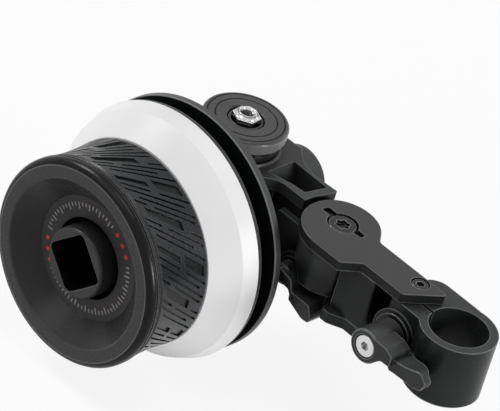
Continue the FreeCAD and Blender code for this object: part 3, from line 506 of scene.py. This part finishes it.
def sleeve(form):
    """Outer wall of the grip with its tread, and its two end faces."""
    columns = tread_stops(0, 1, TREAD_PITCH)[:-1]
    rows = tread_stops(2, 3, GRIP_LENGTH * 1000)
    lean = math.tan(math.radians(TREAD_SLANT)) * GRIP_LENGTH / TREAD_SLANT_RADIUS
    last = len(rows) + 1

    def place(i, j):
        repeat, column = divmod(i, len(columns))
        angle = part_turn(repeat + columns[column] / TREAD_PITCH, TREAD_REPEATS)
        if j in (0, last):
            share = j / last
            radius = GRIP_SEAT
        else:
            share = rows[j - 1] / 1000 / GRIP_LENGTH
            radius = grip_radius(share) + tread_rise(columns[column], rows[j - 1])
        along = GRIP_BACK + GRIP_INSET + share * (GRIP_LENGTH - 2 * GRIP_INSET)
        return wheel_point(radius, angle + lean * share, along)

    grid(form, TREAD_REPEATS * len(columns), last + 1, place, closed=True)


# ---------------------------------------------------------------- crank boss

BOSS_STEPS = 144
SOCKET_FLAT = 0.00625           # from the wheel's axis to a wall of the socket
SOCKET_ROUND = 0.0016           # radius of the socket's corners
# Radius, and distance in front of the drive axis.
BOSS_OUTSIDE = [(0.0090, 0.0383), (0.0090, 0.0492), (0.00893, 0.0495), (0.00872, 0.04982),
                (0.00845, 0.0500)]
# How far the socket widens, and distance in front of the drive axis.
BOSS_INSIDE = [(0.00012, 0.0500), (0.0, 0.0498), (0.0, 0.0385)]


def socket_reach(angle):
    """Distance from the wheel's axis to the wall of the square socket, whose corners lie at 0, 90 ... degrees."""
    turn = abs((angle + math.pi / 4) % (math.pi / 2) - math.pi / 4)
    centre = (SOCKET_FLAT - SOCKET_ROUND) * math.sqrt(2)
    tangent = SOCKET_ROUND * math.sqrt(0.5)
    if turn < math.atan2(tangent, centre + tangent):
        return centre * math.cos(turn) + math.sqrt(SOCKET_ROUND ** 2 - (centre * math.sin(turn)) ** 2)
    return SOCKET_FLAT * math.sqrt(2) / (math.cos(turn) + math.sin(turn))


def boss(form):
    """Round boss with the square socket for a crank, closed at the back and at the bottom of the socket."""
    def place(i, j):
        angle = part_turn(i, BOSS_STEPS)
        if j < len(BOSS_OUTSIDE):
            radius, along = BOSS_OUTSIDE[j]
        else:
            grow, along = BOSS_INSIDE[j - len(BOSS_OUTSIDE)]
            radius = socket_reach(angle) + grow
        return wheel_point(radius, angle, along)

    points = grid(form, BOSS_STEPS, len(BOSS_OUTSIDE) + len(BOSS_INSIDE), place, closed=True)
    form.faces.new([column[-1] for column in points])
    form.faces.new([column[0] for column in reversed(points)])


# ---------------------------------------------------------------- face ring marks

FACE_FRONT = 0.0456             # distance of the face ring in front of the drive axis
TICK_LIFT = 0.00003             # how far the marks stand off the face
DOT_LIFT = 0.00004
TICK_STEP = 5                   # degrees
LONG_TICK_STEP = 15
TICK_OUTER = 0.0141             # radii between which the ticks lie
TICK_INNER = 0.0131
LONG_TICK_INNER = 0.0124
TICK_HALF = 0.00018             # half a tick's width
DOT_ANGLES = (36, 48, 60, 192, 204, 216)
DOT_CLEARANCE = 9               # degrees on each side of a dot that stay without a tick
DOT_CIRCLE = 0.0136             # radius on which the dots lie
DOT_RADIUS = 0.00060
DOT_CORNERS = 24


def ticks(form):
    """Plain ticks round the face ring between the groups of dots."""
    for degrees in range(0, 360, TICK_STEP):
        if any(abs(degrees - dot) < DOT_CLEARANCE for dot in DOT_ANGLES):
            continue
        inner = LONG_TICK_INNER if degrees % LONG_TICK_STEP == 0 else TICK_INNER
        corners = []
        for radius, side in ((inner, -TICK_HALF), (TICK_OUTER, -TICK_HALF), (TICK_OUTER, TICK_HALF),
                             (inner, TICK_HALF)):
            angle = math.radians(degrees) + side / radius
            corners.append(form.verts.new(wheel_point(radius, angle, FACE_FRONT + TICK_LIFT)))
        form.faces.new(corners)


def red_marks(form):
    """Round dots in two groups of three."""
    for degrees in DOT_ANGLES:
        centre = wheel_point(DOT_CIRCLE, math.radians(degrees), FACE_FRONT + DOT_LIFT)
        corners = []
        for k in range(DOT_CORNERS):
            turn = part_turn(k, DOT_CORNERS)
            corners.append(form.verts.new(centre + Vector((math.cos(turn), 0, math.sin(turn))) * DOT_RADIUS))
        form.faces.new(corners)


# ---------------------------------------------------------------- lower plate's lip

FOOT_LIP = [(-41.7, -6.0), (-34.5, -6.0), (-33.7, -5.2), (-33.7, -4.2), (-41.7, -4.2)]   # X and Y in mm
FOOT_LIP_TOP = 0.0040


def foot_lip(form):
    """Front lip of the arm's lower plate below the pivot, behind the lock lever."""
    low, high = ([form.verts.new((x / 1000, y / 1000, height)) for x, y in FOOT_LIP]
                 for height in (0.0, FOOT_LIP_TOP))
    form.faces.new(low)
    form.faces.new(high)
    for i, corner in enumerate(low):
        after = (i + 1) % len(low)
        form.faces.new((corner, low[after], high[after], high[i]))


# ---------------------------------------------------------------- drive stud's thread and washer

THREAD_TURNS = 8
THREAD_STEPS = 28
THREAD_PITCH = 0.0004
THREAD_LOW = 0.0252             # height at which the thread starts
THREAD_ROOT = 0.00164           # radii
THREAD_CREST = 0.00142
WASHER_STEPS = 72
WASHER_OUTLINE = [(0.00376, 0.0256), (0.00376, 0.0268), (0.00384, 0.0269), (0.00432, 0.0269),
                  (0.0044, 0.0268), (0.0044, 0.0256)]   # radius and height


def stud_thread(form):
    """A screw thread on the wall of the stud's hole."""
    def place(i, j):
        height = THREAD_LOW + THREAD_PITCH * (i / THREAD_STEPS + j / 2)
        return drive_point(THREAD_ROOT if j % 2 == 0 else THREAD_CREST, part_turn(i, THREAD_STEPS), height)

    grid(form, THREAD_STEPS * THREAD_TURNS + 1, 3, place)


def stud_washer(form):
    """Washer round the foot of the stud, a little below the face of the hub."""
    def place(i, j):
        radius, height = WASHER_OUTLINE[j]
        return drive_point(radius, part_turn(i, WASHER_STEPS), height)

    points = grid(form, WASHER_STEPS, len(WASHER_OUTLINE), place, closed=True)
    for i, column in enumerate(points):
        after = points[(i + 1) % WASHER_STEPS]
        form.faces.new((column[0], column[-1], after[-1], after[0]))


# ---------------------------------------------------------------- stage

FLOOR_HALF = 1.5
FLOOR_COLOUR = (0.9, 0.9, 0.9, 1.0)
FLOOR_FADE = (0.12, 0.45)       # distances from the origin over which the floor goes from NEAR_GLOW to white
NEAR_GLOW = 0.86
WHITE = 1.0                     # strength of the background that is seen
WORLD_LIGHT = 0.08              # strength of the background that lights the part

LAMP_TARGET = Vector((-0.06, -0.01, 0.0))
LAMP_DISTANCE = 0.8
# Name, azimuth and elevation in degrees, side in metres, power in watts.
LAMPS = [("right", 10, 14, 0.22, 4.5), ("left", -160, 42, 0.25, 3.2), ("front", -110, 42, 0.35, 0.7),
         ("back", 80, 20, 0.35, 0.8), ("top", -60, 80, 0.35, 1.4)]


def add_stage():
    mesh = bpy.data.meshes.new("floor")
    corners = [(x * FLOOR_HALF, y * FLOOR_HALF, FLOOR_Z) for x, y in ((-1, -1), (1, -1), (1, 1), (-1, 1))]
    mesh.from_pydata(corners, [], [(0, 1, 2, 3)])
    floor = add_object("floor", mesh)
    nodes = new_material("floor_white")
    diffuse = nodes.node("ShaderNodeBsdfDiffuse")
    diffuse.inputs["Color"].default_value = FLOOR_COLOUR
    reach = nodes.node("ShaderNodeVectorMath", operation="LENGTH")
    nodes.link(nodes.node("ShaderNodeTexCoord").outputs["Object"], reach.inputs[0])
    glow = nodes.ramp(reach.outputs["Value"], *FLOOR_FADE, NEAR_GLOW, 1.0)
    nodes.finish_mixed(nodes.calc("MULTIPLY", nodes.seen(), glow), diffuse.outputs["BSDF"],
                       nodes.light("ShaderNodeEmission", WHITE))
    mesh.materials.append(nodes.owner)

    world = bpy.data.worlds.new("studio")
    bpy.context.scene.world = world
    nodes = Nodes(world, "ShaderNodeOutputWorld")
    nodes.finish_mixed(nodes.seen(), nodes.light("ShaderNodeBackground", WORLD_LIGHT),
                       nodes.light("ShaderNodeBackground", WHITE))


def add_lamp(name, azimuth, elevation, size, power):
    data = bpy.data.lights.new(name, "AREA")
    data.shape = "SQUARE"
    data.size = size
    data.energy = power
    lamp = add_object(name, data)
    across, up = math.radians(azimuth), math.radians(elevation)
    away = Vector((math.cos(across) * math.cos(up), math.sin(across) * math.cos(up), math.sin(up)))
    lamp.location = LAMP_TARGET + LAMP_DISTANCE * away
    lamp.rotation_euler = (-away).to_track_quat("-Z", "Y").to_euler()


add_camera()
dress_nodes()
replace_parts(new_piece("grip_tread", sleeve, "wheel", "grip_rubber", smooth=28.0), "grip_sleeve")
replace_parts(new_piece("socket_boss", boss, "wheel", "wheel_black", smooth=30.0), "crank_boss")
new_piece("foot_lip", foot_lip, "arm", "black_metal")
new_piece("stud_thread", stud_thread, "drive", "bright_steel")
new_piece("stud_washer", stud_washer, "drive", "hub_black")
new_piece("face_ticks", ticks, "wheel", "face_black", finish="tick_white")
new_piece("face_dots", red_marks, "wheel", "face_black", finish="tick_red")
add_stage()
for lamp in LAMPS:
    add_lamp(*lamp)

bpy.context.scene.view_settings.view_transform = "Standard"
